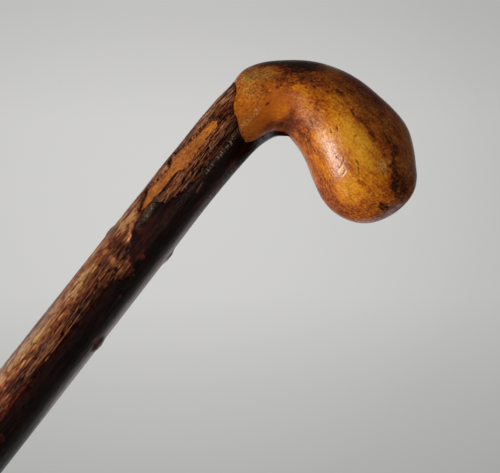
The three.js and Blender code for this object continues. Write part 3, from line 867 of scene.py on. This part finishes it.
def old_bark():
    n = material_nodes("old_bark")
    streak = n.grained((1.5, 1.5, 0.07), 4, 0.7, 0.1)
    hair = n.grained((3.2, 3.2, 0.3), 3, 0.65, 0.1)
    crumb = n.grained((2.2, 2.2, 1.8), 4, 0.7)
    strand = n.grained((1.1, 1.1, 0.08), 3, 0.6, 0.4)
    # Flakes and fibres, each with its own shade, parted by thin cracks.
    flow = n.warped("grain", 0.2, 0.7)
    broad = n.stretched(flow, (0.75, 0.75, 0.1))
    fine = n.stretched(flow, (1.9, 1.9, 0.3))
    broad_edge, fine_edge = (n.cells(cut, "DISTANCE_TO_EDGE", "Distance") for cut in (broad, fine))
    broad_shade, fine_shade = (n.cells(cut, "F1", "Color") for cut in (broad, fine))
    change = 0
    for value, weight in ((streak, 1.1), (hair, 1.2), (broad_shade, 0.4), (fine_shade, 0.6)):
        change = n.plus(n.times(n.centred(value), weight), change)
    swing = n.ramp("swing", (0, 0.12), (1, 0.85))
    tone = n.plus("tone", n.times(change, swing))
    colour = n.ramp(
        tone, (0, (0.005, 0.001, 0.001)), (0.16, (0.018, 0.0038, 0.0026)),
        (0.3, (0.064, 0.0105, 0.0045)), (0.45, (0.158, 0.03, 0.01)), (0.6, (0.3, 0.077, 0.026)),
        (0.78, (0.5, 0.17, 0.07)), (1, (0.72, 0.38, 0.17)))
    golden = n.ramp(tone, (0.2, (0.02, 0.009, 0.004)), (0.45, (0.13, 0.055, 0.013)),
                    (0.65, (0.3, 0.15, 0.04)), (1, (0.56, 0.38, 0.17)))
    colour = n.tint(colour, "golden", 0.8, golden)
    orange = n.ramp(tone, (0.2, (0.1, 0.024, 0.01)), (0.5, (0.34, 0.11, 0.03)),
                    (0.8, (0.56, 0.22, 0.06)))
    colour = n.mix(n.ramp("raw", (0.1, 0), (0.7, 0.85)), colour, orange)
    scar = n.ramp(crumb, (0.35, (0.02, 0.007, 0.005)), (0.65, (0.12, 0.04, 0.024)))
    colour = n.tint(colour, "scar", 0.8, scar)
    # Dark pits and pale threads of torn fibre.
    pits = n.ramp(crumb, (0.36, 0.8), (0.44, 0))
    pits = n.math("MAXIMUM", pits, n.ramp(broad_edge, (0.02, 0.8), (0.09, 0)))
    pits = n.math("MAXIMUM", pits, n.ramp(fine_edge, (0.02, 0.5), (0.1, 0)))
    colour = n.tint(colour, "flaked", pits, (0.018, 0.0055, 0.004))
    threads = n.ramp(strand, (0.455, 0), (0.485, 0.8), (0.51, 0.8), (0.54, 0))
    threads = n.math("MAXIMUM", n.times(threads, "thread"), n.times("torn", 0.75))
    colour = n.mix(threads, colour, (0.56, 0.2, 0.085))
    pale = n.ramp(tone, (0.3, (0.1, 0.055, 0.04)), (0.8, (0.42, 0.27, 0.19)))
    colour = n.mix("bloom", colour, pale)
    # Painted sheen: the blue-grey reflection inside the crook, painted as colour.
    painted_sheen = n.ramp(crumb, (0.3, (0.05, 0.07, 0.09)), (0.6, (0.26, 0.37, 0.44)))
    colour = n.tint(colour, "painted_sheen", 0.85, painted_sheen)
    # Grey-green specks of moss, with painted glints where the table's first row lies.
    moss_and_glints = n.times(n.ramp(crumb, (0.46, 0), (0.56, 0.75)), "moss_and_glints")
    colour = n.mix(moss_and_glints, colour, (0.15, 0.125, 0.085))
    # Painted highlight: pale dashes where light glints on the polish.
    colour = n.tint(colour, "painted_glint", 0.68, (0.62, 0.42, 0.24))
    # The outer bark is smooth under its polish, and the flaked ground rough.
    rough = n.plus(n.ramp("flaked", (0, 0.2), (1, 0.3)), n.ramp(crumb, (0.45, 0), (0.75, 0.12)))
    gain = n.ramp("flaked", (0, 0.1), (1, 1))
    rows = ((streak, 0.7, 0.0006), (hair, 0.6, 0.00025),
            (n.ramp(broad_edge, (0, 0), (0.16, 1)), 0.8, 0.00016),
            (n.ramp(fine_edge, (0, 0), (0.2, 1)), 0.6, 0.0001), (crumb, 0.5, 0.0003))
    normal = n.relief(*[(n.times(height, gain), *how) for height, *how in rows])
    # Under the knob the bark is dry, and its fine streaks break up the shine elsewhere.
    shine = n.ramp("flaked", (0, 0.34), (1, 0.1))
    for value, *stops in (("dry", (0, 1), (1, 0.12)), (hair, (0.38, 0.4), (0.62, 1)),
                          (streak, (0.4, 0.5), (0.58, 1))):
        shine = n.times(shine, n.ramp(value, *stops))
    return n.finish(Base_Color=colour, Roughness=rough, Normal=normal,
                    Specular_IOR_Level=n.times(shine, 1.45))


def aged_metal(name, dark, bright, stain, rough_low, rough_high):
    n = material_nodes(name)
    place = n.place()
    cloud = n.noise(place, 260, 5, 0.65)
    pits = n.noise(place, 1700, 3, 0.6)
    lines = n.noise(n.stretched(place, (1, 1, 9)), 420, 3, 0.6)
    colour = n.ramp(cloud, (0.32, dark), (0.68, bright))
    colour = n.mix(n.ramp(pits, (0.3, 1), (0.42, 0)), colour, stain)
    rough = n.ramp(n.mix(0.5, cloud, lines), (0.35, rough_low), (0.65, rough_high))
    normal = n.relief((lines, 0.15, 0.0002), (pits, 0.2, 0.0002))
    return n.finish(Base_Color=colour, Roughness=rough, Normal=normal, Metallic=1)


# Ferrule.
LATHE_COLUMNS = 144
AXIS_GAP = 0.01
FOOT_ROUND = 0.3
BEAD_RADIUS = 1.1
MOUTH_ROUND = 0.6
TIP_ROUND = 1.6
PIN_LENGTH = 4


def lathe_piece(name, profile, wave, seed):
    """A turned piece from a list of radius and height, closed over its ends."""
    turns = ring(LATHE_COLUMNS)
    radius, height = np.array(profile, float).T[..., None]
    radius = radius - wave * (1 + layers(height / 6, turns, 7, seed, 3)) * (radius > 1)
    return grid_piece(name, round_points(height, -turns, radius), {}, caps=True)


def arc_points(cx, cz, radius, start, end, count):
    angles = np.radians(np.linspace(start, end, count))
    return [(cx + radius * math.cos(a), cz + radius * math.sin(a)) for a in angles]


def collar_radius(z):
    share = (z - COLLAR_BOTTOM) / COLLAR_HEIGHT
    return (COLLAR_FOOT_DIAMETER + share * (COLLAR_TOP_DIAMETER - COLLAR_FOOT_DIAMETER)) / 2


def make_collar():
    foot = collar_radius(COLLAR_BOTTOM)
    bead = BEAD_HEIGHT / 2
    middle = COLLAR_TOP - bead
    seat = collar_radius(middle) + BEAD_DEPTH - BEAD_RADIUS
    profile = [(foot - COLLAR_WALL, COLLAR_BOTTOM), (foot - FOOT_ROUND, COLLAR_BOTTOM)]
    profile += arc_points(foot - FOOT_ROUND, COLLAR_BOTTOM + FOOT_ROUND, FOOT_ROUND, -90, 0, 5)
    for share in np.linspace(0.03, 0.97, 40):
        z = COLLAR_BOTTOM + share * (COLLAR_HEIGHT - BEAD_HEIGHT)
        profile.append((collar_radius(z), z))
    profile.append((collar_radius(middle) - 0.05, COLLAR_TOP - BEAD_HEIGHT))
    profile += arc_points(seat, middle, BEAD_RADIUS, -65, 65, 12)
    top = collar_radius(COLLAR_TOP)
    profile += [(top - MOUTH_ROUND / 3, COLLAR_TOP - MOUTH_ROUND / 4),
                (top - MOUTH_ROUND, COLLAR_TOP), (top - COLLAR_WALL, COLLAR_TOP)]
    return lathe_piece("brass_collar", profile, 0.06, 5)


def make_tip():
    rim = COLLAR_FOOT_DIAMETER / 2
    foot = FOOT_DIAMETER / 2
    profile = [(AXIS_GAP, 0), (foot / 2, 0), (foot, 0)]
    profile += [(foot + (rim - foot) * math.sin(a), TIP_ROUND * (1 - math.cos(a)))
                for a in np.linspace(0.15, math.pi / 2, 9)]
    profile += [(rim, 2.4), (rim, 3.4), (rim, TIP_HEIGHT - 0.3), (rim - 0.25, TIP_HEIGHT)]
    profile += [(rim - 2, TIP_HEIGHT), (AXIS_GAP, TIP_HEIGHT)]
    return lathe_piece("steel_tip", profile, 0.03, 9)


def make_pin(name, side):
    """A brad's domed head and shank, its axis across the stick."""
    half = PIN_HEAD_DIAMETER / 2
    shank = PIN_DIAMETER / 2
    seat = collar_radius(PIN_HEIGHT + half) + FIT
    profile = [(AXIS_GAP, -PIN_LENGTH), (shank, -PIN_LENGTH), (shank, -0.2), (half * 0.9, -0.25)]
    profile += [(half * math.cos(a), PIN_HEAD_HEIGHT * math.sin(a) ** 0.8)
                for a in np.linspace(0.02, 1.45, 12)]
    profile.append((AXIS_GAP, PIN_HEAD_HEIGHT))
    piece = lathe_piece(name, profile, 0.02, 12 + side)
    turn = Matrix.Rotation(side * math.pi / 2, 4, "X")
    shift = Matrix.Translation(Vector((0, -side * seat, PIN_HEIGHT)) * MM)
    piece.data.transform(shift @ turn)
    return piece


def dress(piece, material, node):
    piece.data.materials.append(material)
    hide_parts(node)
    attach(piece, "root")


brass = aged_metal("aged_brass", (0.26, 0.16, 0.055), (0.58, 0.4, 0.16), (0.08, 0.05, 0.025), 0.28, 0.5)
steel = aged_metal("worn_steel", (0.16, 0.16, 0.16), (0.42, 0.42, 0.43), (0.07, 0.04, 0.025), 0.32, 0.6)
dress(make_wood(), polished_wood(), "wood_stick")
dress(make_bark(), old_bark(), "bark")
dress(make_collar(), brass, "ferrule_collar")
dress(make_tip(), steel, "ferrule_tip")
dress(make_pin("pin_front", 1), brass, "ferrule_pin_front")
dress(make_pin("pin_rear", -1), brass, "ferrule_pin_rear")


# The camera looks up a little, to the neck's height, rolled as in the photograph. Its
# focal length is a share of the picture's width.
CAMERA_DISTANCE = 400
CAMERA_TILT = math.radians(6.5)
CAMERA_ROLL = math.radians(37.49)
FOCAL_SHARE = 933.3 / 500
SENSOR_WIDTH = 36
TARGET = Vector((35.42, 0, NECK_HEIGHT)) * MM

turn = Matrix.Rotation(CAMERA_TILT, 3, "X") @ Matrix.Rotation(-CAMERA_ROLL, 3, "Y")
right, sight, above = (column.copy() for column in turn.col)
optics = bpy.data.cameras.new("camera")
optics.sensor_width = SENSOR_WIDTH
optics.lens = SENSOR_WIDTH * FOCAL_SHARE
optics.clip_start = 0.01
camera = new_object("camera", optics)
stand = Matrix.Translation(TARGET - sight * CAMERA_DISTANCE * MM)
camera.matrix_world = stand @ Matrix((right, above, -sight)).transposed().to_4x4()
bpy.context.scene.camera = camera


# Light: windows low in front, to the left and to the right, a pale panel beyond the
# shaft's right side, and a lamp that brightens the floor.
KNOB = Vector((43, -10, NECK_HEIGHT + 52)) * MM
NECK = Vector((4, -11, NECK_HEIGHT + 27)) * MM

# Each lamp's name, the point that it stands round, the ways from there to its two ends,
# their distance, its width, radiance and colour, and what it faces.
LAMPS = [
    ("window_light", KNOB, (-0.602, -0.128, -0.788), (-0.42, -0.61, -0.675),
     0.8, 0.24, 19.5, (0.98, 1, 0.96), KNOB),
    ("upper_light", KNOB, (-0.382, -0.859, -0.342), (-0.452, -0.671, -0.588),
     0.8, 0.05, 7, (1, 0.97, 0.92), KNOB),
    ("side_light", NECK, (0.43, -0.9, 0.235), (0.58, -0.81, 0.14),
     0.9, 0.02, 20, (1, 0.87, 0.62), KNOB),
    ("low_light", KNOB, (-0.14, -0.12, -0.98), (-0.04, -0.12, -0.99),
     0.6, 0.03, 8, (1, 0.97, 0.93), KNOB),
    ("rim_light", NECK, (0.342, 0.94, -0.124), (0.88, 0.47, -0.1),
     1, 0.36, 0.85, (1, 0.87, 0.85), NECK),
]


def panel(name, start, end, width, radiance, colour, target):
    """A lamp as long as the way from start to end, facing its target."""
    data = bpy.data.lights.new(name, "AREA")
    data.shape = "RECTANGLE"
    run = end - start
    data.size, data.size_y = run.length, width
    data.energy = radiance * math.pi * run.length * width
    data.color = colour
    item = new_object(name, data)
    middle = (start + end) / 2
    back = (middle - target).normalized()
    along = (run - run.dot(back) * back).normalized()
    turn = Matrix((along, back.cross(along), back)).transposed().to_4x4()
    item.matrix_world = Matrix.Translation(middle) @ turn
    item.visible_camera = False


for name, centre, first, last, distance, *how in LAMPS:
    ends = [centre + Vector(way).normalized() * distance for way in (first, last)]
    panel(name, *ends, *how)
panel("floor_light", Vector((-1.2, 0.3, 0.45)), Vector((0, 0.3, 0.45)), 1.4, 0.8, (1, 1, 1),
      Vector((-0.6, 0.3, 0)))

# The surround: a pale backdrop behind, pale low down, dark overhead and towards the camera.
sky = Nodes(bpy.data.worlds.new("surround"), "Background")
bpy.context.scene.world = sky.owner
toward = sky.place("Generated")
bright_side = (sight - right * 0.09 + above * 0.05).normalized()
lean, rise, ahead, up = (sky.vectors("DOT_PRODUCT", "Value", toward, way)
                         for way in (bright_side, above, (0, 1, 0), (0, 0, 1)))
backdrop = sky.ranged(lean, 0.72, 1, (0, 0.12), (0.3, 0.3), (0.5, (0.42, 0.42, 0.41)),
                      (0.79, (0.52, 0.52, 0.505)), (1, (0.64, 0.635, 0.625)))
# The backdrop is a little darker near its foot and its top.
backdrop = sky.mix(1, backdrop, sky.ranged(
    rise, -0.5, 0.5, (0, 0.7), (0.25, 0.82), (0.34, 0.88), (0.44, 1), (0.62, 1), (0.73, 0.9),
    (1, 0.85)), "MULTIPLY")
low = sky.ranged(up, -0.2, 0.4, (0, 0.42), (0.34, 0.4), (0.6, 0.12), (1, 0.08))
behind = sky.ranged(ahead, -0.3, 0.3, (0, 0), (1, 1))
front = sky.ranged(ahead, -1, 0.1, (0, 0.16), (0.1, 0.13), (1, 0.12))
fade = sky.ranged(ahead, -0.1, 0.3, (0, 1), (1, 0))
surround = sky.mix(1, sky.mix(1, low, behind, "MULTIPLY"), backdrop, "LIGHTEN")
surround = sky.mix(1, surround, sky.mix(1, front, fade, "MULTIPLY"), "LIGHTEN")
sky.finish(Color=surround)


# The floor, a flat disc at the foot.
FLOOR_RADIUS = 2200
far = np.linspace(0.001, 1, 12)[:, None] * FLOOR_RADIUS
floor = grid_piece("floor", round_points(0, ring(96), far), {})
paint = material_nodes("floor_paint")
tone = paint.ramp(paint.noise(paint.place(), 3, 3, 0.5),
                  (0.3, (0.56, 0.57, 0.57)), (0.7, (0.62, 0.62, 0.61)))
floor.data.materials.append(paint.finish(Base_Color=tone, Roughness=0.8))

bpy.context.scene.view_settings.view_transform = "Standard"
